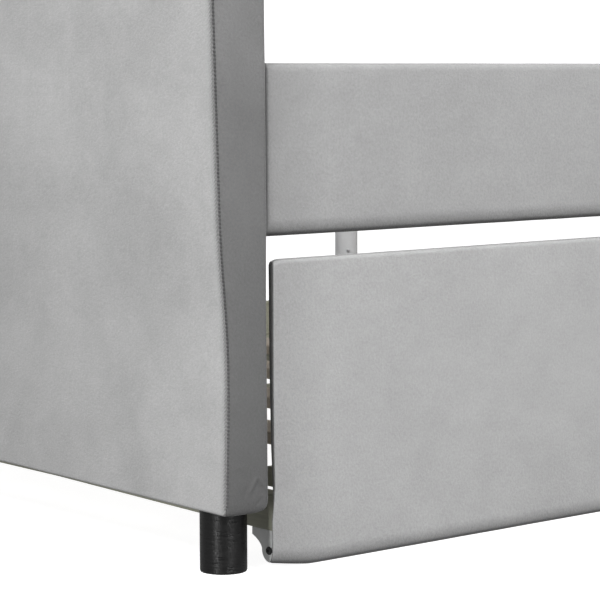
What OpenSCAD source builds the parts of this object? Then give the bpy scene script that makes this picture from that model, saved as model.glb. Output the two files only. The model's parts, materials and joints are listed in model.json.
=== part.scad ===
// Backless upholstered daybed with a full-width pull-out trundle.
// Origin: middle of the footprint, on the floor. +X runs along the bed, -Y is the front, +Z is up.

/* [Bed] */
// Clear length between the two end panels
inner_l = 1924; // [1850:2:2010]
// Depth of the end panels, front to back
depth = 1020; // [960:10:1100]
// Height of the top of the end panels
end_h = 740; // [640:10:860]
// Height of the wooden legs, glide included
leg_h = 64; // [50:1:90]
// Diameter of the wooden legs
leg_d = 47; // [36:1:48]
// Extra thickness of an end panel at its top, where it leans outwards
end_flare = 24; // [10:0.5:40]

/* [Rails and deck] */
// Height of the top of the upholstered rails
rail_top = 498; // [480:1:560]
// Height of the rail itself, from its lower to its upper edge
rail_h = 168; // [140:1:172]
// Thickness of the rail with its padding
rail_t = 30; // [28:1:36]
// How far the rail face stands behind the front edge of the end panels
rail_recess = 5; // [1:1:12]
// Height of the top of the slats under the mattress
deck_top = 430; // [400:1:450]

/* [Trundle] */
// Height of the top edge of the trundle front
trundle_top = 307; // [250:1:312]
// Free height under the trundle front
trundle_lift = 2; // [2:1:12]
// Gap between the trundle front and each end panel
trundle_gap = 5; // [4:1:20]
// Height of the trundle slats' upper faces
trundle_deck = 112; // [108:1:130]
// Wheel radius of the trundle casters
wheel_r = 13; // [11:0.5:13.5]

/* [Hidden] */
$fn = 48;
N_SLATS = 11;
half_l = inner_l / 2;
half_d = depth / 2;

// End panel: distances outwards from its inner face
end_foot_t = 55;
waist_t = 52;
waist_low = 175;
waist_high = 235;
shoulder_t = 62;
shoulder_z = 330;
end_lean = 3.5;
end_top_t = waist_t + end_flare;
skin = 1.5;
foot_r = 6;
crown_r = 14;
core_in = 11.5;
face_board_t = 3;
stud_t = 25;
core_t = stud_t + 2 * face_board_t;
core_mid = core_in + core_t / 2;
core_edge = 8;
core_top = end_h - 12;
stile_w = 75;
beam_w = 70;
hem_in = 11;
hem_out = 47;
panel_floor = leg_h + skin;

// Legs
leg_x = half_l + core_mid;
leg_y = half_d - 40;
glide_h = 1;
glide_d = leg_d - 1;
leg_edge = 0.6;
leg_bolt_r = 4;
leg_bolt_low = 30;
leg_bolt_high = leg_h + 42;

// Rails
sleeve = 1;
rail_gap = 1;
rail_front = half_d - rail_recess;
rail_back = rail_front - rail_t;
rail_low = rail_top - rail_h;
rail_r = 5;
rail_board_t = 18;
rail_foam = 6;
rail_half = half_l - rail_gap;
rail_mid = (rail_front + rail_back) / 2;
board_back = rail_back + sleeve;
board_front = board_back + rail_board_t;
board_half = rail_half - sleeve;
board_low = rail_low + sleeve + rail_foam;
board_high = rail_top - sleeve - rail_foam;

// Slats and ledges of the bed
slat_w = 65;
slat_t = 15;
slat_len = 2 * (rail_back - 2);
ledge_top = deck_top - slat_t;
ledge_w = 30;
ledge_h = 25;
ledge_half = half_l - 72;
slat_reach = half_l - 105;
slat_pitch = 2 * slat_reach / (N_SLATS - 1);
slat_screw_y = rail_back - 14;

// Rail brackets
bracket_t = 3;
bracket_x_leg = 58;
bracket_y_leg = 40;
bracket_h = 84;
bracket_z = rail_low + 51;
bolt_r = 4;
bolt_y = rail_back - 20;
bolt_zs = [bracket_z - 20, bracket_z + 20];
bolt_len = 39;
screw_r = 2.2;
bracket_screw_x = half_l - 40;

// Centre support
centre_r = 17.5;
centre_wall = 2;
centre_y = rail_mid - 2;
plate_t = 3;
plate_w = 76;
plate_d = 28;
foot_h = 5;
foot_plug = 15;
plate_screw_x = 29;
lock_screw_z = 213;
lock_screw_turn = 30;

// Trundle
t_cover_t = 16;
t_board_t = 10;
front_r = 4;
t_end_foam = 14;
t_foot_foam = 14;
t_recess = 0;
t_face = half_d - t_recess;
t_inner = t_face - t_cover_t;
t_half = half_l - trundle_gap;
t_side_out = half_l - 26;
t_side_t = 20;
t_side_in = t_side_out - t_side_t;
t_side_low = 33.5;
t_side_high = 70.5;
t_rise = 5;
t_crest = 100;
t_rise_front = 60 - half_d;
t_rise_back = half_d - 125;
t_back_y = 460;
t_back_t = 16;
t_back_in = t_back_y - t_back_t;
t_back_high = 147;
t_slat_w = 55;
t_slat_t = 14;
t_slat_low = trundle_deck - t_slat_t;
t_slat_reach = half_l - 140;
t_slat_pitch = 2 * t_slat_reach / (N_SLATS - 1);
cleat_w = 25;
cleat_h = 20;
cleat_half = t_side_out - 2;
beam_t = 22;
beam_low = 77;
t_screw_len = 20;
angle_leg = 40;
angle_t = 2;
angle_low = 39;
angle_h = 30;
angle_screw_zs = [angle_low + 7, angle_low + 23];

// Casters
fork_out = half_l - 27;
fork_w = 20;
fork_t = 2;
fork_x = fork_out - fork_w / 2;
fork_eye_r = wheel_r - 0.8;
fork_len = 40;
wheel_w = 13;
axle_r = 3;
wheel_play = 0.05;
axle_front = -half_d + 34.6;
axle_back = t_back_y - 36;

SIDES = ["left", "right"];
CORNERS = ["front_left", "front_right", "back_left", "back_right"];

// ---------- shared shapes ----------

// Points of an arc about (cx, cy)
function arc(cx, cy, r, from, to, steps = 5) =
    [for (k = [0:steps]) let(a = from + (to - from) * k / steps) [cx + r * cos(a), cy + r * sin(a)]];

// Rectangle between two corners, with round corners
function round_rect(x0, y0, x1, y1, r) = concat(
    arc(x0 + r, y0 + r, r, 180, 270),
    arc(x1 - r, y0 + r, r, 270, 360),
    arc(x1 - r, y1 - r, r, 0, 90),
    arc(x0 + r, y1 - r, r, 90, 180)
);

// Section of an end panel, measured outwards from its inner face, taken in by a margin all round
function end_section(in) = concat(
    arc(foot_r, leg_h + foot_r, foot_r - in, 180, 270),
    arc(end_foot_t - foot_r, leg_h + foot_r, foot_r - in, 270, 360),
    [
        [waist_t - in, waist_low],
        [waist_t - in, waist_high],
        [shoulder_t - in, shoulder_z]
    ],
    arc(end_top_t - crown_r, end_h - crown_r, crown_r - in, 0, 90),
    arc(end_lean + crown_r, end_h - crown_r, crown_r - in, 90, 180),
    [[in, shoulder_z]]
);

// A bar along X, Y or Z with round long edges
module bar_x(x0, x1, y0, y1, z0, z1, r = 2)
    translate([x0, 0, 0]) rotate([90, 0, 90]) linear_extrude(x1 - x0)
        polygon(round_rect(y0, z0, y1, z1, r));

module bar_y(x0, x1, y0, y1, z0, z1, r = 2)
    translate([0, y1, 0]) rotate([90, 0, 0]) linear_extrude(y1 - y0)
        polygon(round_rect(x0, z0, x1, z1, r));

module box(x0, x1, y0, y1, z0, z1)
    translate([x0, y0, z0]) cube([x1 - x0, y1 - y0, z1 - z0]);

// Pan-head screw: its head sits on z = 0 and its shank points down
module screw(r, length, head_r, head_h) {
    translate([0, 0, -length]) cylinder(r = r, h = length + head_h / 2);
    rotate_extrude() polygon(concat(
        [[0, 0], [head_r, 0], [head_r, head_h * 0.4]],
        arc(head_r - head_h * 0.6, head_h * 0.4, head_h * 0.6, 0, 90, 4),
        [[0, head_h]]
    ));
}

// Countersunk screw: its head is flush with z = 0 and its shank points down
module flat_screw(r, length, head_r)
    rotate_extrude() polygon([[0, -length], [r, -length], [r, r - head_r], [head_r, 0], [0, 0]]);

// Copies on the other end, or on the other long side
module both_ends() {
    children();
    mirror([1, 0, 0]) children();
}

module both_sides() {
    children();
    mirror([0, 1, 0]) children();
}

// Parts are drawn at the right and at the back, and mirrored to the left and to the front
module on_side(side) mirror([side == "left" ? 1 : 0, 0, 0]) children();

module at_corner(corner)
    mirror([corner == "front_left" || corner == "back_left" ? 1 : 0, 0, 0])
        mirror([0, corner == "front_left" || corner == "front_right" ? 1 : 0, 0]) children();

// ---------- end panels ----------

module end_block(in, half)
    translate([half_l, half, 0]) rotate([90, 0, 0]) linear_extrude(2 * half)
        polygon(end_section(in));

// Holes for the rail bolts, and for the leg bolts
module rail_bolt_holes()
    both_sides() for (z = bolt_zs)
        translate([half_l - 10, bolt_y, z]) rotate([0, 90, 0]) cylinder(r = bolt_r, h = bolt_len + 8);

module leg_bolt_holes()
    both_sides() translate([leg_x, leg_y, leg_bolt_low])
        cylinder(r = leg_bolt_r, h = leg_bolt_high - leg_bolt_low);

module end_frame(side) color("burlywood") on_side(side) {
    x0 = half_l + core_in + face_board_t;
    y1 = half_d - core_edge;
    difference() {
        box(x0, x0 + stud_t, -y1, y1, panel_floor, core_top);
        both_sides() box(x0 - 1, x0 + stud_t + 1, stile_w / 2, y1 - stile_w,
            panel_floor + beam_w, core_top - beam_w);
        rail_bolt_holes();
        leg_bolt_holes();
    }
}

module end_face_boards() color("tan") both_ends() {
    y1 = half_d - core_edge;
    difference() {
        for (x = [half_l + core_in, half_l + core_in + face_board_t + stud_t])
            box(x, x + face_board_t, -y1, y1, panel_floor, core_top);
        rail_bolt_holes();
    }
}

module end_padding(side) color("ivory") on_side(side) difference() {
    end_block(skin, half_d - skin);
    box(half_l + core_in, half_l + core_in + core_t, core_edge - half_d, half_d - core_edge,
        leg_h, core_top);
    rail_bolt_holes();
}

module end_cover(side) color("darkgray") on_side(side) difference() {
    end_block(0, half_d);
    end_block(skin, half_d - skin);
    box(half_l + hem_in, half_l + hem_out, core_edge - half_d, half_d - core_edge,
        leg_h - 1, panel_floor + 1);
    rail_bolt_holes();
}

module end_dust_covers() color("black") both_ends() difference() {
    box(half_l + hem_in, half_l + hem_out, core_edge - half_d, half_d - core_edge,
        leg_h, panel_floor);
    leg_bolt_holes();
}

// ---------- legs ----------

module leg(corner) color("black") at_corner(corner) difference() {
    translate([leg_x, leg_y, glide_h]) rotate_extrude() polygon(concat(
        [[0, 0]],
        arc(leg_d / 2 - leg_edge, leg_edge, leg_edge, 270, 360, 3),
        [[leg_d / 2, leg_h - glide_h], [0, leg_h - glide_h]]
    ));
    leg_bolt_holes();
}

module leg_glides() color("dimgray") both_ends() both_sides()
    translate([leg_x, leg_y, 0]) cylinder(d = glide_d, h = glide_h);

module leg_bolts() color("silver") both_ends() leg_bolt_holes();

// ---------- rails ----------

// Shell of a padded board that lies along X, drawn at the back
module rail_block(in)
    bar_x(in - rail_half, rail_half - in, rail_back + in, rail_front - in,
        rail_low + in, rail_top - in, rail_r - in);

module rail_board_space()
    box(-board_half, board_half, board_back, board_front, board_low, board_high);

module bracket_screws() both_ends() for (z = bolt_zs)
    translate([bracket_screw_x, rail_back - bracket_t, z]) rotate([90, 0, 0])
        screw(screw_r, 18, 4.2, 2.4);

module centre_plate_screws()
    for (x = [-plate_screw_x, plate_screw_x])
        translate([x, centre_y, rail_low - plate_t]) rotate([180, 0, 0]) screw(screw_r, 34, 4.2, 2.4);

module to_front(front) mirror([0, front ? 1 : 0, 0]) children();

// The centre support stands under the back rail only
module rail_holes(front) {
    bracket_screws();
    if (!front) centre_plate_screws();
}

module rail_board(front) color("burlywood") to_front(front) difference() {
    rail_board_space();
    rail_holes(front);
}

module rail_padding(front) color("ivory") to_front(front) difference() {
    rail_block(sleeve);
    box(-half_l, half_l, board_back - 1, board_front, board_low, board_high);
    rail_holes(front);
}

module rail_cover(front) color("darkgray") to_front(front) difference() {
    rail_block(0);
    rail_block(sleeve);
    rail_holes(front);
}

module ledge(front) color("burlywood") to_front(front) difference() {
    bar_x(-ledge_half, ledge_half, rail_back - ledge_w, rail_back, ledge_top - ledge_h, ledge_top);
    bed_slat_screws_shape();
}

module rail_brackets() color("gray") both_ends() both_sides() difference() {
    union() {
        box(half_l - bracket_x_leg, half_l, rail_back - bracket_t, rail_back,
            bracket_z - bracket_h / 2, bracket_z + bracket_h / 2);
        box(half_l - bracket_t, half_l, rail_back - bracket_y_leg, rail_back,
            bracket_z - bracket_h / 2, bracket_z + bracket_h / 2);
    }
    rail_bolts_shape();
    bracket_screws();
}

module rail_bolts_shape() for (z = bolt_zs)
    translate([half_l - bracket_t, bolt_y, z]) rotate([0, -90, 0]) screw(bolt_r, bolt_len, 7, 4.5);

module rail_bolts() color("silver") {
    both_ends() both_sides() rail_bolts_shape();
    both_sides() bracket_screws();
}

// ---------- centre support ----------

module centre_leg() color("gainsboro") difference() {
    translate([0, centre_y, foot_h]) cylinder(r = centre_r, h = rail_low - plate_t - foot_h);
    translate([0, centre_y, foot_h - 1])
        cylinder(r = centre_r - centre_wall, h = rail_low - plate_t - foot_h - 3);
    at_lock_screw() translate([0, 0, -6]) cylinder(r = screw_r, h = 8);
}

module centre_leg_plate() color("gainsboro") difference() {
    box(-plate_w / 2, plate_w / 2, centre_y - plate_d / 2, centre_y + plate_d / 2,
        rail_low - plate_t, rail_low);
    centre_plate_screws();
}

module centre_leg_foot() color("dimgray") translate([0, centre_y, 0]) {
    cylinder(r = centre_r, h = foot_h);
    translate([0, 0, foot_h]) cylinder(r = centre_r - centre_wall, h = foot_plug);
}

// On the tube wall, on the side that faces the left front
module at_lock_screw()
    translate([0, centre_y, lock_screw_z]) rotate([0, 0, -lock_screw_turn]) rotate([90, 0, 0])
        translate([0, 0, centre_r]) children();

module centre_leg_screws() color("gray") {
    centre_plate_screws();
    at_lock_screw() screw(screw_r, 6, 2.6, 2.4);
}

// ---------- bed slats ----------

function bed_slat_x(i) = -slat_reach + i * slat_pitch;

module bed_slat_screws_shape()
    for (i = [0:N_SLATS - 1]) both_sides()
        translate([bed_slat_x(i), slat_screw_y, deck_top]) flat_screw(1.8, 32, 3.8);

module bed_slat(i) color("wheat") difference() {
    bar_y(bed_slat_x(i) - slat_w / 2, bed_slat_x(i) + slat_w / 2, -slat_len / 2, slat_len / 2,
        ledge_top, deck_top, 3);
    bed_slat_screws_shape();
}

module bed_slat_screws() color("silver") bed_slat_screws_shape();

// ---------- trundle box ----------

// Padded front panel: a flat board with round upright edges
module front_block(in)
    translate([0, 0, trundle_lift + in])
        linear_extrude(trundle_top - trundle_lift - 2 * in)
            polygon(round_rect(in - t_half, in - t_face, t_half - in, -t_inner - in, front_r - in));

module front_board_space() {
    margin = (t_cover_t - t_board_t) / 2;
    box(t_end_foam - t_half, t_half - t_end_foam, margin - t_face, -t_inner - margin,
        trundle_lift + t_foot_foam, trundle_top - 4);
}

module trundle_front_board() color("burlywood") difference() {
    front_board_space();
    trundle_screws_shape();
}

module trundle_front_padding() color("ivory") difference() {
    front_block(sleeve);
    front_board_space();
    trundle_screws_shape();
}

module trundle_front_cover() color("darkgray") difference() {
    front_block(0);
    front_block(sleeve);
    trundle_screws_shape();
}

// Side of the trundle box: its lower edge rises a little between the casters
module trundle_side(side) color("darkolivegreen") on_side(side) difference() {
    bar_y(t_side_in, t_side_out, -t_inner, t_back_in, t_side_low, t_side_high);
    translate([t_side_in - 1, 0, 0]) rotate([90, 0, 90]) linear_extrude(t_side_t + 2) polygon([
        [t_rise_front, t_side_low - 1], [t_rise_front, t_side_low],
        [-t_crest, t_side_low + t_rise], [t_crest, t_side_low + t_rise],
        [t_rise_back, t_side_low], [t_rise_back, t_side_low - 1]
    ]);
    trundle_screws_shape();
}

module trundle_back_board() color("darkolivegreen") difference() {
    bar_x(-t_side_out, t_side_out, t_back_in, t_back_y, t_side_low, t_back_high);
    trundle_screws_shape();
}

module trundle_cleats() color("burlywood") difference() {
    union() {
        bar_x(-cleat_half, cleat_half, -t_inner, cleat_w - t_inner, t_slat_low - cleat_h, t_slat_low);
        bar_x(-cleat_half, cleat_half, t_back_in - cleat_w, t_back_in,
            t_slat_low - cleat_h, t_slat_low);
    }
    trundle_screws_shape();
}

module trundle_centre_beam() color("burlywood")
    bar_x(-t_side_in, t_side_in, -beam_t / 2, beam_t / 2, beam_low, t_slat_low);

function trundle_slat_x(i) = -t_slat_reach + i * t_slat_pitch;

module trundle_slats() color("wheat") difference() {
    for (i = [0:N_SLATS - 1])
        bar_y(trundle_slat_x(i) - t_slat_w / 2, trundle_slat_x(i) + t_slat_w / 2,
            1 - t_inner, t_back_in - 1, t_slat_low, trundle_deck, 3);
    trundle_screws_shape();
}

// Angles inside the four corners of the trundle box
module trundle_angles() color("silver") difference() {
    both_ends() {
        for (y = [-t_inner, t_back_in - angle_leg])
            box(t_side_in - angle_t, t_side_in, y, y + angle_leg, angle_low, angle_low + angle_h);
        for (y = [-t_inner, t_back_in - angle_t])
            box(t_side_in - angle_leg, t_side_in, y, y + angle_t, angle_low, angle_low + angle_h);
    }
    trundle_screws_shape();
}

module trundle_screws_shape() {
    for (i = [0:N_SLATS - 1]) for (y = [13 - t_inner, t_back_in - 13])
        translate([trundle_slat_x(i), y, trundle_deck]) flat_screw(1.8, 28, 3.8);
    both_ends() {
        for (z = angle_screw_zs) {
            for (y = [angle_leg - 12 - t_inner, t_back_in - angle_leg + 12])
                translate([t_side_in - angle_t, y, z]) rotate([0, -90, 0]) screw(1.8, 16, 3.6, 1.6);
            translate([t_side_in - angle_leg + 12, angle_t - t_inner, z]) rotate([-90, 0, 0])
                screw(1.8, 12, 3.6, 1.6);
            translate([t_side_in - angle_leg + 12, t_back_in - angle_t, z]) rotate([90, 0, 0])
                screw(1.8, 14, 3.6, 1.6);
        }
        fork_screws();
    }
}

module trundle_screws() color("silver") trundle_screws_shape();

// ---------- casters ----------

module fork_screws()
    for (y = [axle_front + 5, axle_front + 20, axle_back - 20, axle_back - 5])
        translate([fork_x + 1.5, y, t_side_low - fork_t]) rotate([180, 0, 0])
            screw(1.8, t_screw_len, 3.4, 1.6);

// Side plate of a fork in the Y-Z plane: round at the axle, with a hollow curve up to its long foot
module fork_plate_outline() {
    foot_drop = 7.5;
    eye_angle = 5;
    tip = [fork_eye_r * cos(eye_angle), wheel_r + fork_eye_r * sin(eye_angle)];
    foot = [fork_len - fork_eye_r, t_side_low - foot_drop];
    bend = [tip[0] + 3, (tip[1] + foot[1]) / 2 + 1];
    difference() {
        polygon(concat(
            [[-fork_eye_r, t_side_low]],
            arc(0, wheel_r, fork_eye_r, 180, 360 + eye_angle, 16),
            [for (k = [1:6]) let(t = k / 6)
                (1 - t) * (1 - t) * tip + 2 * t * (1 - t) * bend + t * t * foot],
            [[foot[0], t_side_low]]
        ));
        translate([0, wheel_r]) circle(r = axle_r);
    }
}

// Fork with its axle at y = 0 and its long foot towards +Y
module fork_shape() {
    for (x = [fork_out - fork_w, fork_out - fork_t])
        translate([x, 0, 0]) rotate([90, 0, 90]) linear_extrude(fork_t) fork_plate_outline();
    box(fork_out - fork_w, fork_out, -fork_eye_r, fork_len - fork_eye_r,
        t_side_low - fork_t, t_side_low);
}

module caster_fork(corner) color("gray") difference() {
    front = corner == "front_left" || corner == "front_right";
    on_side(corner == "front_left" || corner == "back_left" ? "left" : "right")
        translate([0, front ? axle_front : axle_back, 0]) mirror([0, front ? 0 : 1, 0]) fork_shape();
    both_ends() fork_screws();
}

module wheel(corner) color("dimgray") {
    front = corner == "front_left" || corner == "front_right";
    rim = 2;
    on_side(corner == "front_left" || corner == "back_left" ? "left" : "right")
        translate([fork_x - wheel_w / 2, front ? axle_front : axle_back, wheel_r]) rotate([0, 90, 0])
            rotate_extrude() polygon(concat(
                [[axle_r + wheel_play, 0], [axle_r + wheel_play, wheel_w], [wheel_r - rim, wheel_w]],
                arc(wheel_r - rim, wheel_w - rim, rim, 90, 0, 4),
                arc(wheel_r - rim, rim, rim, 0, -90, 4)
            ));
}

module caster_axles() color("black") both_ends() for (y = [axle_front, axle_back])
    translate([fork_out - fork_w - 2, y, wheel_r]) rotate([0, 90, 0]) {
        cylinder(r = axle_r, h = fork_w + 2);
        cylinder(r = 4.5, h = 2);
        translate([0, 0, fork_w + 2]) rotate_extrude()
            polygon([[0, 0], [4.2, 0], [4.2, 1.2], [3.6, 2], [1.6, 2], [1.2, 1], [0, 1]]);
    }

// ---------- assembly ----------

for (s = SIDES) {
    end_frame(s);
    end_padding(s);
    end_cover(s);
}
end_face_boards();
end_dust_covers();
for (c = CORNERS) {
    leg(c);
    caster_fork(c);
    wheel(c);
}
leg_glides();
leg_bolts();
rail_board(true);  // front_rail_board
rail_padding(true);  // front_rail_padding
rail_cover(true);  // front_rail_cover
ledge(true);  // front_ledge
rail_board(false);  // back_rail_board
rail_padding(false);  // back_rail_padding
rail_cover(false);  // back_rail_cover
ledge(false);  // back_ledge
rail_brackets();
rail_bolts();
centre_leg();
centre_leg_plate();
centre_leg_foot();
centre_leg_screws();
for (i = [0:N_SLATS - 1])
    bed_slat(i);
bed_slat_screws();
trundle_front_board();
trundle_front_padding();
trundle_front_cover();
trundle_side("left");  // trundle_left_side
trundle_side("right");  // trundle_right_side
trundle_back_board();
trundle_cleats();
trundle_centre_beam();
trundle_slats();
trundle_angles();
trundle_screws();
caster_axles();
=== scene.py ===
import json
import math

import bpy
import numpy as np
from mathutils import Matrix, Vector


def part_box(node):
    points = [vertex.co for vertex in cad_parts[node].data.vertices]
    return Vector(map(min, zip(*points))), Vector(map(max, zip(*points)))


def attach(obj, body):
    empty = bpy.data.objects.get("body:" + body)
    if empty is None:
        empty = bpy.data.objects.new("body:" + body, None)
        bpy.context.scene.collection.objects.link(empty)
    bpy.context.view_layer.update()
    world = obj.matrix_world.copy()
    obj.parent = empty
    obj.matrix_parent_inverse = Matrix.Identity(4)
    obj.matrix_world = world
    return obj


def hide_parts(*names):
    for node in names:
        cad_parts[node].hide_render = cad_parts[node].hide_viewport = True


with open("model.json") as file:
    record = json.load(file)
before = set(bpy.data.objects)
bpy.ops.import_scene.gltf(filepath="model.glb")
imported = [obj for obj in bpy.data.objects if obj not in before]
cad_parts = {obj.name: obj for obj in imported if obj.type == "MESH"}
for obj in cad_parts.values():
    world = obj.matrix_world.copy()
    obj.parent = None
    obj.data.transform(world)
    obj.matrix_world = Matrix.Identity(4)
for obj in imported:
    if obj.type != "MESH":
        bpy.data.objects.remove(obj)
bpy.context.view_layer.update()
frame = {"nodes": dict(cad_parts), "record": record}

MM = 0.001
SIDES = {"left": -1, "right": 1}

# ---------------------------------------------------------------- sizes, from the frame

END_LOW, END_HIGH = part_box("right_end_cover")
INNER_X = END_LOW.x
BED_FRONT = END_LOW.y
BED_BACK = END_HIGH.y

# ---------------------------------------------------------------- camera

CAMERA_AT = Vector((-2.3571, -2.2375, 0.4863))
CAMERA_YAW = math.radians(39.694)     # turned from +Y towards +X
CAMERA_PITCH = math.radians(5.587)    # looking down
CAMERA_ROLL = math.radians(0.171)
LENS_MM = 137.95
SENSOR_MM = 36


def make_camera():
    data = bpy.data.cameras.new("Camera")
    data.lens = LENS_MM
    data.sensor_width = SENSOR_MM
    camera = bpy.data.objects.new("Camera", data)
    bpy.context.scene.collection.objects.link(camera)
    turn = (Matrix.Rotation(-CAMERA_YAW, 3, "Z")
            @ Matrix.Rotation(math.pi / 2 - CAMERA_PITCH, 3, "X")
            @ Matrix.Rotation(-CAMERA_ROLL, 3, "Z"))
    camera.rotation_euler = turn.to_euler()
    camera.location = CAMERA_AT
    bpy.context.scene.camera = camera


# ---------------------------------------------------------------- node materials

STITCH_PITCH = 3.7 * MM

# How fine each kind of velvet mark is, as a noise scale in features per metre
BRUSHED_PATCHES = 7
NAP_STROKES = 42
UNEVEN_PILE = 120
PILE_TUFTS = 360
FRAYED_EDGE = 700

# Where the painted shade on an end panel's pile starts to darken towards its seam, and where it is
# darkest, as distances past the panel's edge; SEAM_SHADOW is the narrower painted shadow in the
# seam
SEAM_SHADE = (-8 * MM, -2.5 * MM)
SEAM_SHADOW = (-3.6 * MM, -0.4 * MM)


class Nodes:
    """Short ways to add and join shader nodes of one material."""

    def __init__(self, name):
        self.material = bpy.data.materials.new(name)
        self.material.use_nodes = True
        self.tree = self.material.node_tree
        self.shader = self.tree.nodes["Principled BSDF"]
        texture = self.tree.nodes.new("ShaderNodeTexCoord")
        self.coords = texture.outputs["Object"]
        self.facing = texture.outputs["Normal"]

    def link(self, a, b):
        self.tree.links.new(a, b)

    def place(self, scale):
        """Object coordinates scaled along each axis."""
        node = self.tree.nodes.new("ShaderNodeMapping")
        node.inputs["Scale"].default_value = scale
        self.link(self.coords, node.inputs["Vector"])
        return node.outputs["Vector"]

    def noise(self, scale, detail=2.0, rough=0.5, at=None, warp=0.0):
        node = self.tree.nodes.new("ShaderNodeTexNoise")
        node.inputs["Scale"].default_value = scale
        node.inputs["Detail"].default_value = detail
        node.inputs["Roughness"].default_value = rough
        node.inputs["Distortion"].default_value = warp
        self.link(at or self.coords, node.inputs["Vector"])
        return node.outputs["Fac"]

    def ramp(self, value, *stops):
        """A colour from a number, through stops of (position, colour)."""
        node = self.tree.nodes.new("ShaderNodeValToRGB")
        points = node.color_ramp.elements
        while len(points) < len(stops):
            points.new(0.5)
        for point, (position, colour) in zip(points, stops):
            point.position = position
            point.color = (*colour, 1)
        self.link(value, node.inputs["Fac"])
        return node.outputs["Color"]

    def remap(self, value, low, high, from_low=0.3, from_high=0.7):
        """A number moved from one range to another; most of a noise lies from 0.3 to 0.7."""
        node = self.tree.nodes.new("ShaderNodeMapRange")
        node.inputs["From Min"].default_value = from_low
        node.inputs["From Max"].default_value = from_high
        node.inputs["To Min"].default_value = low
        node.inputs["To Max"].default_value = high
        self.link(value, node.inputs["Value"])
        return node.outputs["Result"]

    def part(self, vector, axis):
        """One component of a vector: X, Y or Z."""
        node = self.tree.nodes.new("ShaderNodeSeparateXYZ")
        self.link(vector, node.inputs["Vector"])
        return node.outputs[axis]

    def math(self, kind, a, b=0):
        node = self.tree.nodes.new("ShaderNodeMath")
        node.operation = kind
        for socket, value in zip(node.inputs, (a, b)):
            if isinstance(value, (int, float)):
                socket.default_value = value
            else:
                self.link(value, socket)
        return node.outputs["Value"]

    def product(self, first, *factors):
        for factor in factors:
            first = self.math("MULTIPLY", first, factor)
        return first

    def tint(self, colour, factor):
        """A colour, or a grey given as one number, times a number from a socket."""
        node = self.tree.nodes.new("ShaderNodeVectorMath")
        node.operation = "SCALE"
        node.inputs[0].default_value = colour if isinstance(colour, tuple) else (colour,) * 3
        self.link(factor, node.inputs["Scale"])
        return node.outputs["Vector"]

    def bump(self, height, strength, distance, under=None):
        node = self.tree.nodes.new("ShaderNodeBump")
        node.inputs["Strength"].default_value = strength
        node.inputs["Distance"].default_value = distance
        self.link(height, node.inputs["Height"])
        if under is not None:
            self.link(under, node.inputs["Normal"])
        return node.outputs["Normal"]

    def finish(self, colour, rough, normal=None, **constants):
        """Joins the shader up; a constant's name is its socket's, with _ for each space."""
        self.link(colour, self.shader.inputs["Base Color"])
        if isinstance(rough, (int, float)):
            self.shader.inputs["Roughness"].default_value = rough
        else:
            self.link(rough, self.shader.inputs["Roughness"])
        if normal is not None:
            self.link(normal, self.shader.inputs["Normal"])
        for name, value in constants.items():
            self.shader.inputs[name.replace("_", " ")].default_value = value
        return self.material


def velvet(name, grey, patchiness, painted_falloff, streak=(1, 1, 1), seam=False, turned=None):
    """Short-pile velvet: brushed patches, streaks of the nap, and tufts two or three mm wide.

    The falloff, (axis, dark end, bright end, factor at the dark end), is painted shade that darkens
    the pile towards the dark end. streak stretches the strokes of the nap along an axis. seam
    paints shade into the pile where it bends into the seam along the front, top and back of an end
    panel.
    turned is (factor at the ends, factor below): painted shade where the faces turn sideways or
    down.
    """
    n = Nodes(name)
    patches = n.remap(n.noise(BRUSHED_PATCHES, 3, 0.55, warp=0.6), 1 - patchiness, 1 + patchiness)
    strokes = n.remap(n.noise(NAP_STROKES, 3, 0.6, n.place(streak), warp=0.4), 0.965, 1.035)
    tufts = n.noise(PILE_TUFTS, 3, 0.75)
    specks = n.remap(tufts, 0.91, 1.09)
    # painted shade: the pile darkens along one axis towards the falloff's dark end
    axis, dark_end, bright_end, factor = painted_falloff
    painted_shade_slope = n.remap(n.part(n.coords, axis), factor, 1.0, dark_end, bright_end)
    shade = n.product(patches, strokes, specks, painted_shade_slope)
    # painted shade where the faces turn sideways towards the ends or face down
    if turned:
        at_ends, below = turned
        sideways = n.math("ABSOLUTE", n.part(n.facing, "X"))
        shade = n.product(shade, n.remap(sideways, 1.0, at_ends, 0.3, 0.9),
                          n.remap(n.part(n.facing, "Z"), below, 1.0, -0.8, -0.06))
    # painted shade, and a narrower painted shadow, in the pile along the seam
    if seam:
        y, z = n.part(n.coords, "Y"), n.part(n.coords, "Z")
        past_side = n.math("SUBTRACT", n.math("ABSOLUTE", y), BED_BACK)
        past_edge = n.math("MAXIMUM", past_side, n.math("SUBTRACT", z, END_HIGH.z))
        tooth = n.math("PINGPONG", n.math("ADD", y, z), STITCH_PITCH / 2)
        fray = n.product(n.math("SUBTRACT", n.noise(FRAYED_EDGE, 1, 0.5), 0.5), 3 * MM)
        ragged = n.math("ADD", n.math("ADD", past_edge, tooth), fray)
        shade = n.product(shade, n.remap(ragged, 1.0, 0.80, *SEAM_SHADE),
                          n.remap(ragged, 1.0, 0.55, *SEAM_SHADOW))
    relief = n.bump(tufts, 0.7, 1.0 * MM)
    relief = n.bump(n.noise(UNEVEN_PILE, 3, 0.6), 0.2, 1.2 * MM, relief)
    return n.finish(n.tint(grey, shade), n.remap(patches, 0.82, 0.97, 0.9, 1.1), relief,
                    Sheen_Weight=0.22, Sheen_Roughness=0.4, Specular_IOR_Level=0.2)


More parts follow.
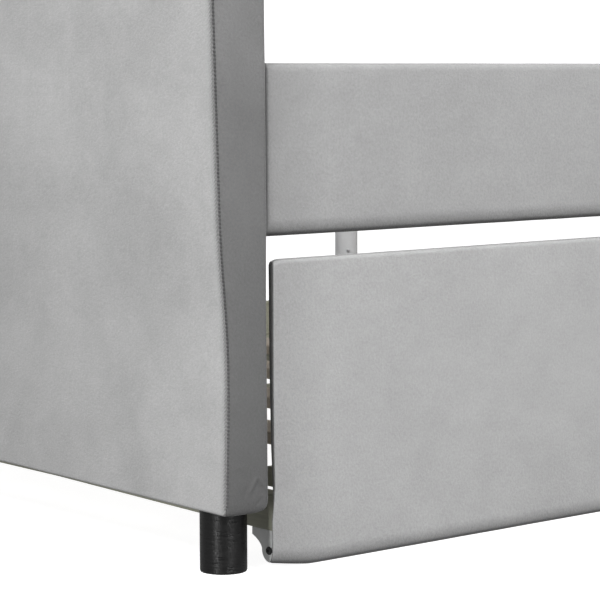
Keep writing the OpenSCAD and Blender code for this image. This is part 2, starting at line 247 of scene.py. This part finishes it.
def wood(name, dark, light, along, rough=0.6):
    """Sawn timber whose grain runs along x, y or z."""
    n = Nodes(name)
    across_grain, along_grain = 9.0, 0.35
    squeeze = [along_grain if axis == along else across_grain for axis in "xyz"]
    fibres = n.noise(22, 6, 0.65, n.place(squeeze), warp=0.8)
    bands = n.noise(5, 2, 0.5, n.place(squeeze), warp=1.4)
    figure = n.math("ADD", n.product(fibres, 0.6), n.product(bands, 0.4))
    colour = n.ramp(figure, (0.32, dark), (0.68, light))
    pores = n.noise(90, 3, 0.7, n.place(squeeze))
    relief = n.bump(n.math("ADD", fibres, pores), 0.25, 0.6 * MM)
    return n.finish(colour, n.remap(fibres, rough - 0.08, rough + 0.12), relief)


def steel(name, tone, rough, metallic=0.0, cloudiness=0.06):
    """Plated or painted sheet steel with faint cloudy marks and a slightly uneven surface."""
    n = Nodes(name)
    clouds = n.remap(n.noise(60, 4, 0.6), 1 - cloudiness, 1 + cloudiness)
    relief = n.bump(n.noise(900, 2, 0.5), 0.12, 0.2 * MM)
    handled = n.remap(n.noise(140, 3, 0.6), rough - 0.07, rough + 0.09)
    return n.finish(n.tint(tone, clouds), handled, relief, Metallic=metallic)


def plastic(name, tone, rough=0.5):
    """Moulded plastic with a fine even texture."""
    n = Nodes(name)
    clouds = n.remap(n.noise(80, 3, 0.6), 0.9, 1.1)
    scuffs = n.remap(n.noise(300, 2, 0.5), rough - 0.05, rough + 0.1)
    return n.finish(n.tint(tone, clouds), scuffs, n.bump(n.noise(1400, 1, 0.5), 0.15, 0.2 * MM))


def lacquered_leg():
    """Black lacquer over turned wood: fine rings round the leg show through the finish."""
    n = Nodes("black_lacquer")
    rings = n.noise(420, 4, 0.75, n.place((0.12, 0.12, 1)))
    fibres = n.noise(260, 3, 0.6, n.place((1, 1, 0.3)))
    shade = n.remap(n.math("ADD", n.product(rings, 0.7), n.product(fibres, 0.3)), 0.55, 1.6)
    relief = n.bump(rings, 0.8, 0.6 * MM, n.bump(fibres, 0.5, 0.5 * MM))
    return n.finish(n.tint(0.0028, shade), n.remap(rings, 0.22, 0.48), relief)


def dust_cloth():
    """Black non-woven cloth with its grid of pressed dots."""
    n = Nodes("dust_cloth")
    dots = n.tree.nodes.new("ShaderNodeTexVoronoi")
    dots.inputs["Scale"].default_value = 450
    dots.inputs["Randomness"].default_value = 0.2
    n.link(n.coords, dots.inputs["Vector"])
    away = dots.outputs["Distance"]
    shade = n.remap(away, 0.6, 1.4, 0.1, 0.6)
    return n.finish(n.tint((0.02, 0.02, 0.022), shade), 0.9, n.bump(away, 0.4, 0.4 * MM))


def foam():
    """Open-cell foam sheet."""
    n = Nodes("foam")
    cells = n.noise(500, 3, 0.7)
    shade = n.remap(cells, 0.85, 1.1)
    return n.finish(n.tint((0.75, 0.72, 0.62), shade), 0.95, n.bump(cells, 0.5, 1.0 * MM))


def thread():
    """Twisted grey thread, darker than the pile."""
    n = Nodes("sewing_thread")
    twist = n.noise(1500, 2, 0.5, n.place((1, 1, 0.4)))
    shade = n.remap(twist, 0.7, 1.3)
    return n.finish(n.tint(0.055, shade), 0.8, n.bump(twist, 0.4, 0.2 * MM))


# The falloffs, the seam darkening and the turned darkening of these velvets are painted shade
VELVET = velvet("velvet_panel", 0.432, 0.10, ("Y", 0.1, -0.42, 0.84), seam=True)
VELVET_BAND = velvet("velvet_band", 0.198, 0.10, ("Z", 0.06, 0.72, 0.50), (1, 1, 0.5))
VELVET_RAIL = velvet("velvet_rail", 0.318, 0.035, ("X", -0.965, -0.885, 0.80), (0.6, 1, 1),
                     turned=(0.5, 0.35))
VELVET_TRUNDLE = velvet("velvet_trundle", 0.365, 0.035, ("X", -0.962, -0.885, 0.81), (0.6, 1, 1),
                        turned=(0.34, 0.35))
THREAD = thread()
CAD_LOOKS = {
    "frame_wood": wood("planed_pine", (0.42, 0.27, 0.13), (0.66, 0.48, 0.28), "x"),
    "face_board": wood("hardboard", (0.2, 0.12, 0.06), (0.3, 0.19, 0.1), "z"),
    "slat_wood": wood("slat_plywood", (0.44, 0.38, 0.31), (0.62, 0.55, 0.46), "y", 0.55),
    "trundle_wood": wood("olive_stained_board", (0.30, 0.30, 0.235), (0.49, 0.495, 0.395), "y",
                         0.55),
    "foam": foam(),
    "dust_cloth": dust_cloth(),
    "black_leg": lacquered_leg(),
    "glide": plastic("glide_plastic", 0.02),
    "zinc_steel": steel("zinc_plate", (0.62, 0.62, 0.64), 0.38, metallic=1.0),
    "black_steel": steel("black_powder_coat", 0.025, 0.5),
    "grey_tube": steel("grey_powder_coat", (0.78, 0.79, 0.81), 0.45, cloudiness=0.03),
    "fork_steel": steel("fork_paint", (0.80, 0.81, 0.805), 0.5),
    "axle_steel": steel("black_oxide", 0.02, 0.35),
    "wheel_plastic": plastic("wheel_plastic", 0.03, 0.45),
    "velvet": VELVET,
}


def dress_cad_nodes():
    """Gives each CAD node the look of its slot in the record."""
    for part in frame["record"]["subparts"]:
        node = frame["nodes"][part["node"]]
        node.data.materials.clear()
        node.data.materials.append(CAD_LOOKS[part["material_slot"]])


# ---------------------------------------------------------------- mesh making

def object_from(name, points, faces, materials, face_kinds=None):
    """A smooth-shaded object; face_kinds says which of the materials each face has."""
    mesh = bpy.data.meshes.new(name)
    if isinstance(faces, np.ndarray):
        faces = faces.tolist()
    mesh.from_pydata(points.tolist(), [], faces)
    for material in materials:
        mesh.materials.append(material)
    if face_kinds is not None:
        mesh.polygons.foreach_set("material_index", face_kinds)
    mesh.polygons.foreach_set("use_smooth", [True] * len(mesh.polygons))
    mesh.update()
    made = bpy.data.objects.new(name, mesh)
    bpy.context.scene.collection.objects.link(made)
    return made


def marks(length, fine, coarse, reach_low, reach_high):
    """Places along an edge: closely spaced within reach of either end, and wider between."""
    def ladder(reach):
        return list(np.linspace(0, reach, max(1, round(reach / fine)) + 1))
    middle = length - reach_low - reach_high
    inner = np.linspace(reach_low, length - reach_high, max(1, round(middle / coarse)) + 1)
    high = [length - d for d in ladder(reach_high)[::-1]]
    return np.array(ladder(reach_low)[:-1] + list(inner) + high[1:])


def lattice_box(xs, ys, zs):
    """The points and quads of a box, and which face each quad is on.

    The faces are numbered 0 to 5: low x, high x, low y, high y, low z and high z.
    """
    axes = (xs, ys, zs)
    counts = [len(a) for a in axes]
    index = -np.ones(counts, dtype=int)
    shell = np.zeros(counts, dtype=bool)
    shell[0], shell[-1] = True, True
    shell[:, 0], shell[:, -1] = True, True
    shell[:, :, 0], shell[:, :, -1] = True, True
    places = np.argwhere(shell)
    index[tuple(places.T)] = np.arange(len(places))
    points = np.stack([axes[k][places[:, k]] for k in range(3)], 1)
    quads, kinds = [], []
    for axis in range(3):
        for end in (0, 1):
            grid = np.take(index, -end, axis=axis)
            corners = [grid[:-1, :-1], grid[1:, :-1], grid[1:, 1:], grid[:-1, 1:]]
            if (end == 0) != (axis == 1):
                corners = corners[::-1]
            faces = np.stack([c.ravel() for c in corners], 1)
            quads.append(faces)
            kinds += [2 * axis + end] * len(faces)
    return points, np.concatenate(quads), np.array(kinds)


def round_off(points, low, high, inset_low, inset_high):
    """Rounds every edge of a box; the insets say how far in from each face it begins to turn."""
    inner = np.clip(points, low + inset_low, high - inset_high)
    reach = points - inner
    inset = np.where(reach < 0, inset_low, inset_high)
    unit = reach / inset
    size = np.maximum(np.linalg.norm(unit, axis=1, keepdims=True), 1e-9)
    peak = np.abs(unit).max(axis=1, keepdims=True)
    return inner + inset * unit / size * peak


def smooth_noise(points, size, seed):
    """Value noise from -1 to 1 with features about one size wide; the same for the same seed."""
    q = points / size + seed * 17.31
    base = np.floor(q)
    f = q - base
    w = f * f * (3 - 2 * f)
    total = np.zeros(len(points))
    for corner in np.ndindex(2, 2, 2):
        c = base + corner
        h = np.sin(c @ np.array([127.1, 311.7, 74.7]) + seed * 3.7) * 43758.5453
        h = (h - np.floor(h)) * 2 - 1
        weight = np.prod(np.where(np.array(corner) == 1, w, 1 - w), axis=1)
        total += h * weight
    return total


def crease(flat, start, end, width, depth):
    """A fold line on a face: how far it pushes each flat point in, or out for a negative depth."""
    a, b = np.array(start), np.array(end)
    along = b - a
    t = np.clip(((flat - a) @ along) / (along @ along), 0, 1)
    away = np.linalg.norm(flat - (a + t[:, None] * along), axis=1)
    fade = np.sin(np.pi * np.clip(0.15 + 0.7 * t, 0, 1))
    return depth * fade * np.exp(-(away / width) ** 2)


def push_out(made, distance):
    """Moves each point of a mesh along its own normal."""
    mesh = made.data
    count = len(mesh.vertices)
    places = np.zeros(count * 3)
    normals = np.zeros(count * 3)
    mesh.vertices.foreach_get("co", places)
    mesh.vertex_normals.foreach_get("vector", normals)
    places = places.reshape(-1, 3) + normals.reshape(-1, 3) * distance[:, None]
    mesh.vertices.foreach_set("co", places.ravel())
    mesh.update()


def waves(points, *trains):
    """Slow waves of cloth, in metres, from trains of (height in mm, size, seed)."""
    return sum(height * MM * smooth_noise(points, size, seed) for height, size, seed in trains)


def bulge(t, power):
    """1 in the middle of a span from 0 to 1, and 0 at its ends."""
    return 1 - np.abs(2 * np.clip(t, 0, 1) - 1) ** power


def turn_under(height, tall, deep):
    """How far a padded face falls back near its lower edge, as a quarter of an ellipse."""
    s = np.clip(1 - height / tall, 0, 0.985)
    return deep * (1 - np.sqrt(1 - s * s))


# ---------------------------------------------------------------- end panels

# Outer face: how far out it is at each height, and how far each corner of the section is smoothed
SECTION_Z = [0.064, 0.175, 0.235, 0.330, 0.554, 0.740]
SECTION_OUT = [0.055, 0.0523, 0.0532, 0.0615, 0.0685, 0.076]
SOFTENING = 0.022
# Inner face: how far out it leans at each height
LEAN_Z = [0.064, 0.120, 0.200, 0.400, 0.740]
LEAN_OUT = [0.0002, 0.0009, 0.0009, 0.0007, 0.0035]
# Folds at the foot of the band, in mm: from and to (out from the inner face, up from the
# bottom), width, depth
FOLDS = [
    ((18, 34), (28, 21), 2.4, -0.8), ((18, 34), (8, 23), 2.4, -0.7),
    ((18, 29), (24, 18), 2.6, 0.8), ((17, 29), (11, 19), 2.4, 0.6),
    ((31, 28), (37, 15), 2.8, 0.6), ((44, 40), (34, 31), 2.6, 0.4),
    ((12, 12), (20, 8), 2.0, 0.6), ((34, 46), (50, 44), 2.4, -0.35),
]
FOLD_FADE = 3 * MM          # how soon a fold fades on the faces beside the band
FLAT_T = 0.060              # thickness of the plain box that the section bends
BAND_FACES = (2, 3, 5)      # front, back and top
END_ROUND_LOW = np.array([6.5, 4.5, 2.5]) * MM
END_ROUND_HIGH = np.array([2.2, 4.5, 10]) * MM
INNER_TURN = 17 * MM        # radius of the inner face's lower edge
HEM_BEND = 2.0              # how many mm the hem rises at the middle and falls at the corners
HEM_REACH = 60 * MM         # height over which the hem's bend dies away
BAND_CORNER = 14 * MM       # how near the front or back a point is to be turned under with the band
BAND_TURN = (11 * MM, 2.6 * MM)
FACE_CROWN = 1.6 * MM
BAND_CROWN = 1.3 * MM
SEAM_DEPTH = 1.1 * MM
SEAM_WIDTH = 1.5 * MM


def section_out(z):
    """How far the outer face is from the inner face's foot, smoothed over the corners."""
    return sum(np.interp(z + d, SECTION_Z, SECTION_OUT) for d in (-SOFTENING, 0, SOFTENING)) / 3


def section_in(z):
    return np.interp(z, LEAN_Z, LEAN_OUT)


def end_panel(side):
    """The velvet over one end panel; x runs outwards from the inner face, mirrored at the left."""
    sign = SIDES[side]
    low = np.array([0.0, BED_FRONT, END_LOW.z])
    high = np.array([FLAT_T, BED_BACK, END_HIGH.z])
    xs = marks(FLAT_T, 1.2 * MM, 1.5 * MM, 12 * MM, 7 * MM)
    ys = low[1] + marks(high[1] - low[1], 1.2 * MM, 8 * MM, 12 * MM, 12 * MM)
    zs = low[2] + marks(high[2] - low[2], 1.4 * MM, 5 * MM, 62 * MM, 16 * MM)
    points, quads, kinds = lattice_box(xs, ys, zs)
    flat = points.copy()
    points = round_off(points, low, high, END_ROUND_LOW, END_ROUND_HIGH)

    # the bottom corner of the inner face is turned under over a larger radius
    q = np.stack([INNER_TURN - points[:, 0], INNER_TURN - (points[:, 2] - low[2])], 1)
    size = np.linalg.norm(q, axis=1)
    outside = (q > 0).all(axis=1) & (size > INNER_TURN)
    q[outside] *= (INNER_TURN / size[outside])[:, None]
    points[outside, 0] = INNER_TURN - q[outside, 0]
    points[outside, 2] = low[2] + INNER_TURN - q[outside, 1]

    # the band is turned under at its foot, and the hem hangs lowest at the front and back corners
    hang = np.interp(np.abs(points[:, 1]), [0, BED_BACK], [HEM_BEND, -HEM_BEND]) * MM
    near_band = np.abs(flat[:, 1]) >= BED_BACK - BAND_CORNER
    tucked = turn_under(points[:, 2] - low[2], *BAND_TURN)
    points[:, 1] -= np.sign(points[:, 1]) * tucked * near_band
    points[:, 2] += hang * np.clip(1 - (points[:, 2] - low[2]) / HEM_REACH, 0, 1)

    z = points[:, 2]
    share = points[:, 0] / FLAT_T
    across = section_in(z) + share * (section_out(z) - section_in(z))
    points[:, 0] = sign * (INNER_X + across)
    if sign < 0:
        quads = quads[:, ::-1]
    is_band = np.isin(kinds, BAND_FACES).astype(int)
    made = object_from(f"{side}_end_upholstery", points, quads, [VELVET, VELVET_BAND], is_band)

    # foam crown on the broad faces and on the band between them
    v = (flat[:, 1] - low[1]) / (high[1] - low[1])
    w = (flat[:, 2] - low[2]) / (high[2] - low[2])
    u = flat[:, 0] / FLAT_T
    on_broad = ((u <= 0) | (u >= 1)).astype(float)
    push = FACE_CROWN * (bulge(v, 10) * bulge(w, 8)) * on_broad
    push += BAND_CROWN * bulge(u, 2.4) * (1 - on_broad)
    push += waves(points, (0.45, 0.13, 1 + sign), (0.22, 0.045, 5 + sign))

    # the seam sinks between the outer panel and the band
    from_edges = [flat[:, 1] - low[1], high[1] - flat[:, 1], high[2] - flat[:, 2]]
    from_seam = np.where(u >= 1, np.minimum.reduce(from_edges), (1 - u) * FLAT_T)
    push -= SEAM_DEPTH * np.exp(-(from_seam / SEAM_WIDTH) ** 2)

    # folds where the cloth is turned under at the foot of the band
    face = np.stack([flat[:, 0], flat[:, 2] - low[2]], 1) / MM
    folds = sum(crease(face, *fold) for fold in FOLDS)
    for face_y in (low[1], high[1]):
        on_face = np.exp(-(np.abs(flat[:, 1] - face_y) / FOLD_FADE) ** 2)
        push -= on_face * folds * MM
    push_out(made, push)
    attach(made, "bed")
    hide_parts(f"{side}_end_cover", f"{side}_end_padding")


# The seam's two rows, in mm: how deep each lies under the edge, how far it is inwards from the
# outer face, and its mean radius and how much that swells along each stitch
PUCKER = {"depth": 1.4, "inwards": 0.7, "radius": 0.75, "swell": 0.28}
STITCHES = {"depth": 0.2, "inwards": 2.6, "radius": 0.62, "swell": 0.36}
POINTS_PER_STITCH = 4
SEAM_CORNER = 10 * MM
SEAM_CORNER_STEPS = 6
SEAM_START = 6 * MM


def seam_line(side, depth, inwards):
    """Points, four to a stitch, along the outer edge: up the front, over the top, down the back."""
    sign = SIDES[side]
    top = END_HIGH.z - depth
    front, back = BED_FRONT + depth, BED_BACK - depth

    def at(y, z):
        x = sign * (INNER_X + section_out(min(z, END_HIGH.z)) - inwards)
        return np.array([x, y, z])

    corners = [(front, END_LOW.z + SEAM_START), (front, top - SEAM_CORNER)]
    for k in range(1, SEAM_CORNER_STEPS + 1):
        a = math.pi / 2 * k / SEAM_CORNER_STEPS
        corners.append((front + SEAM_CORNER * (1 - math.cos(a)),
                        top - SEAM_CORNER * (1 - math.sin(a))))
    corners += [(front + back - y, z) for y, z in corners[::-1]]
    route = []
    for (y0, z0), (y1, z1) in zip(corners, corners[1:]):
        steps = max(1, round(math.hypot(y1 - y0, z1 - z0) / (STITCH_PITCH / POINTS_PER_STITCH)))
        route += [at(y0 + (y1 - y0) * k / steps, z0 + (z1 - z0) * k / steps)
                  for k in range(steps)]
    return np.array(route)


def tube(route, radii, sides):
    """A closed tube along a route, with its own radius at each point."""
    ahead = np.gradient(route, axis=0)
    ahead /= np.linalg.norm(ahead, axis=1, keepdims=True)
    side = np.cross(ahead, np.array([1.0, 0, 0]))
    side /= np.maximum(np.linalg.norm(side, axis=1, keepdims=True), 1e-9)
    up = np.cross(ahead, side)
    angles = np.linspace(0, 2 * math.pi, sides, endpoint=False)
    turned = (np.cos(angles)[None, :, None] * side[:, None]
              + np.sin(angles)[None, :, None] * up[:, None])
    points = (route[:, None] + radii[:, None, None] * turned).reshape(-1, 3)
    faces = []
    for ring in range(len(route) - 1):
        for k in range(sides):
            a, b = ring * sides + k, ring * sides + (k + 1) % sides
            faces.append((a, b, b + sides, a + sides))
    faces.append(tuple(range(sides))[::-1])
    faces.append(tuple((len(route) - 1) * sides + k for k in range(sides)))
    return points, faces


def seam_row(side, row, phase, sides):
    """A tube along the seam that swells and thins once for each stitch."""
    route = seam_line(side, row["depth"] * MM, row["inwards"] * MM)
    turns = 2 * math.pi / POINTS_PER_STITCH * np.arange(len(route)) + phase
    return tube(route, row["radius"] * MM + row["swell"] * MM * np.cos(turns), sides)


def end_seam(side):
    """The outer panel's puckered edge along the seam, and the stitches on the band beside it."""
    bead = object_from(f"{side}_end_seam_edge", *seam_row(side, PUCKER, 0, 8), [VELVET])
    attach(bead, "bed")

    row = object_from(f"{side}_end_stitches", *seam_row(side, STITCHES, math.pi, 6), [THREAD])
    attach(row, "bed")


# ---------------------------------------------------------------- rails

RAIL_ROUND_LOW = np.array([4, 5, 5]) * MM
RAIL_ROUND_HIGH = np.array([4, 5, 7.5]) * MM
RAIL_TURN = (18 * MM, 7 * MM)
RAIL_CROWN = 1.2 * MM


def rail(which):
    """The velvet sleeve of a rail."""
    low, high = (np.array(c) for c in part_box(f"{which}_rail_cover"))
    size = high - low
    xs = low[0] + marks(size[0], 1.5 * MM, 8 * MM, 12 * MM, 12 * MM)
    ys = low[1] + marks(size[1], 1.2 * MM, 3 * MM, 8 * MM, 8 * MM)
    zs = low[2] + marks(size[2], 1.2 * MM, 5 * MM, 26 * MM, 12 * MM)
    points, quads, _ = lattice_box(xs, ys, zs)
    flat = points.copy()
    points = round_off(points, low, high, RAIL_ROUND_LOW, RAIL_ROUND_HIGH)
    u, v, w = ((flat - low) / size).T
    outward = 1 - v if which == "front" else v
    tucked = turn_under(points[:, 2] - low[2], *RAIL_TURN)
    points[:, 1] -= np.sign(low[1]) * tucked * outward ** 2
    made = object_from(f"{which}_rail_upholstery", points, quads, [VELVET_RAIL])
    push = np.where(outward >= 1, RAIL_CROWN * bulge(w, 4) * bulge(u, 60), 0)
    push += waves(points, (0.28, 0.16, 11), (0.12, 0.04, 12))
    push_out(made, push)
    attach(made, "bed")
    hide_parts(f"{which}_rail_cover", f"{which}_rail_padding")


# ---------------------------------------------------------------- trundle front

# How far each end of the padding reaches beyond the CAD cover at each height: at the face, and
# at the back
REACH_Z = [0.020, 0.050, 0.062, 0.085, 0.120, 0.200, 0.307]
REACH_FACE = [0.0026, 0.0030, 0.0014, -0.0006, 0.0004, 0.0008, 0.0006]
REACH_BACK = [-0.0125, -0.0125, -0.0120, -0.0106, -0.0088, -0.0070, -0.0062]
REACH_FADE = 60 * MM        # how far from each end the reach has died away
PANEL_ROUND_LOW = np.array([2.4, 2.8, 5]) * MM
PANEL_ROUND_HIGH = np.array([2.4, 2.8, 4]) * MM
PANEL_TURN = (19 * MM, 7 * MM)
PANEL_CROWN = 0.9 * MM
LOWER_ZONE = 60 * MM        # heights over which the changes at the bottom and the top die away
UPPER_ZONE = 40 * MM
LIFT, LIFT_RUN = 6.0 * MM, 50 * MM      # the lower corners rise
DROP, DROP_RUN = 3.0 * MM, 14 * MM      # the upper corners fall
SAG, SAG_RUN = 1.6 * MM, 60 * MM        # the bottom sags between its corners
TOP_RISE = 0.4 * MM


def trundle_front():
    """The velvet over the trundle's front board: the padding draws in near its lower corners."""
    low, high = (np.array(c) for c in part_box("trundle_front_cover"))
    size = high - low
    xs = low[0] + marks(size[0], 1.2 * MM, 8 * MM, 70 * MM, 70 * MM)
    ys = low[1] + marks(size[1], 0.9 * MM, 1.2 * MM, 7 * MM, 5 * MM)
    zs = low[2] + marks(size[2], 1.2 * MM, 4 * MM, 26 * MM, 12 * MM)
    points, quads, _ = lattice_box(xs, ys, zs)
    flat = points.copy()
    u, v, w = ((flat - low) / size).T
    points = round_off(points, low, high, PANEL_ROUND_LOW, PANEL_ROUND_HIGH)

    # the ends are fuller at the face than at the back, and draw in above the lower corners
    from_end = np.minimum(points[:, 0] - low[0], high[0] - points[:, 0])
    near_end = np.clip(1 - from_end / REACH_FADE, 0, 1) ** 2
    z = points[:, 2]
    at_face, at_back = np.interp(z, REACH_Z, REACH_FACE), np.interp(z, REACH_Z, REACH_BACK)
    reach = (1 - v) * at_face + v * at_back
    points[:, 0] += np.sign(points[:, 0]) * near_end * reach

    # the face turns under along the bottom, the lower corners lift and the upper ones drop
    points[:, 1] += turn_under(points[:, 2] - low[2], *PANEL_TURN) * (1 - v) ** 2
    lower = np.clip(1 - (points[:, 2] - low[2]) / LOWER_ZONE, 0, 1)
    upper = np.clip(1 - (high[2] - points[:, 2]) / UPPER_ZONE, 0, 1)
    points[:, 2] += LIFT * np.clip(1 - from_end / LIFT_RUN, 0, 1) ** 1.2 * lower
    points[:, 2] -= DROP * np.clip(1 - from_end / DROP_RUN, 0, 1) ** 2 * upper
    points[:, 2] += TOP_RISE * upper - SAG * np.clip(from_end / SAG_RUN, 0, 1) * lower

    made = object_from("trundle_front_upholstery", points, quads, [VELVET_TRUNDLE])
    push = np.where(v <= 0, PANEL_CROWN * bulge(w, 6) * bulge(u, 60), 0)
    push += waves(points, (0.22, 0.18, 21), (0.10, 0.05, 22))
    push_out(made, push)
    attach(made, "trundle")
    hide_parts("trundle_front_cover", "trundle_front_padding")


# ---------------------------------------------------------------- floor and light

FLOOR_HALF = 30
FLOOR_GLOW = 0.9
DOME_RADIUS, DOME_RINGS, DOME_SIDES = 29.0, 12, 48
DOME_CLOSED = 0.98      # share of the way up that the last ring reaches
DOME_GLOW = 1.0
FRONT_LEFT_LEG = (-0.98, -0.47, 0.1)

# name, azimuth, elevation, distance, (width, height), power, aim
LIGHTS = [
    ("left_softbox", -73, 42, 2.6, (1, 1), 47, (-0.9, -0.4, 0.35)),
    ("front_softbox", -6, 38, 4.5, (2, 2), 176, (0, -0.5, 0.3)),
    ("left_strip", -70, 4, 3, (0.25, 1.0), 28, FRONT_LEFT_LEG),
    ("front_strip", -1, 4, 3, (0.25, 1.0), 13, FRONT_LEFT_LEG),
]
# World light: its strength from below and from above, and the heights of the direction (-1 is
# straight down, 1 straight up) between which it rises
WORLD_STRENGTH = (0.2, 0.42)
WORLD_HEIGHTS = (-0.6, 0.3)


def glow(nodes, strength):
    """Lets a stage piece shine by itself, so that it stays white in the picture."""
    nodes.shader.inputs["Emission Color"].default_value = (1, 1, 1, 1)
    nodes.shader.inputs["Emission Strength"].default_value = strength


def seen_only_by_camera(stage_piece):
    """Keeps a pale floor or backdrop from throwing its own light back on the bed."""
    stage_piece.visible_diffuse = False
    stage_piece.visible_glossy = False


def make_floor():
    n = Nodes("pale_floor")
    shade = n.remap(n.noise(0.6, 3, 0.5), 0.97, 1.0)
    n.finish(n.tint(0.5, shade), 0.9, Specular_IOR_Level=0.0)
    glow(n, FLOOR_GLOW)
    corners = [(-1, -1, 0), (1, -1, 0), (1, 1, 0), (-1, 1, 0)]
    points = np.array(corners, float) * FLOOR_HALF
    floor = object_from("floor", points, [(0, 1, 2, 3)], [n.material])
    seen_only_by_camera(floor)


def make_backdrop():
    """A white dome far round the bed."""
    n = Nodes("white_backdrop")
    shade = n.remap(n.noise(0.2, 2, 0.5), 0.98, 1.0)
    n.finish(n.tint(0.9, shade), 0.9, Specular_IOR_Level=0.0)
    glow(n, DOME_GLOW)
    points, faces = [], []
    for ring in range(DOME_RINGS):
        tilt = math.pi / 2 * ring / (DOME_RINGS - 1) * DOME_CLOSED
        out, up = DOME_RADIUS * math.cos(tilt), DOME_RADIUS * math.sin(tilt)
        for k in range(DOME_SIDES):
            turn = 2 * math.pi * k / DOME_SIDES
            points.append((out * math.cos(turn), out * math.sin(turn), up))
    for ring in range(DOME_RINGS - 1):
        for k in range(DOME_SIDES):
            a, b = ring * DOME_SIDES + k, ring * DOME_SIDES + (k + 1) % DOME_SIDES
            faces.append((a, b, b + DOME_SIDES, a + DOME_SIDES))
    faces.append(tuple((DOME_RINGS - 1) * DOME_SIDES + k for k in range(DOME_SIDES)))
    dome = object_from("backdrop", np.array(points), faces, [n.material])
    seen_only_by_camera(dome)
    dome.visible_shadow = False


def soft_light(name, azimuth, elevation, distance, size, power, aim):
    """A softbox aimed at a point; azimuth 0 is in front, and negative towards the left end."""
    a, e = math.radians(azimuth), math.radians(elevation)
    away = Vector((math.sin(a) * math.cos(e), -math.cos(a) * math.cos(e), math.sin(e)))
    data = bpy.data.lights.new(name, "AREA")
    data.shape = "RECTANGLE"
    data.size, data.size_y = size
    data.energy = power
    light = bpy.data.objects.new(name, data)
    bpy.context.scene.collection.objects.link(light)
    light.location = Vector(aim) + away * distance
    light.rotation_euler = away.to_track_quat("Z", "Y").to_euler()
    light.visible_camera = False


def make_light():
    """A white world that is dimmer from below, the softboxes, and plain colour handling."""
    world = bpy.data.worlds.new("studio")
    world.use_nodes = True
    tree = world.node_tree
    coords = tree.nodes.new("ShaderNodeTexCoord")
    split = tree.nodes.new("ShaderNodeSeparateXYZ")
    height = tree.nodes.new("ShaderNodeMapRange")
    for end, at, strength in zip(("Min", "Max"), WORLD_HEIGHTS, WORLD_STRENGTH):
        height.inputs[f"From {end}"].default_value = at
        height.inputs[f"To {end}"].default_value = strength
    tree.links.new(coords.outputs["Generated"], split.inputs["Vector"])
    tree.links.new(split.outputs["Z"], height.inputs["Value"])
    tree.links.new(height.outputs["Result"], tree.nodes["Background"].inputs["Strength"])
    tree.nodes["Background"].inputs["Color"].default_value = (1, 1, 1, 1)
    bpy.context.scene.world = world
    for light in LIGHTS:
        soft_light(*light)
    view = bpy.context.scene.view_settings
    view.view_transform = "Standard"
    view.look = "None"


# ---------------------------------------------------------------- all together

make_camera()
dress_cad_nodes()
for side in SIDES:
    end_panel(side)
    end_seam(side)
for which in ("front", "back"):
    rail(which)
trundle_front()
make_floor()
make_backdrop()
make_light()
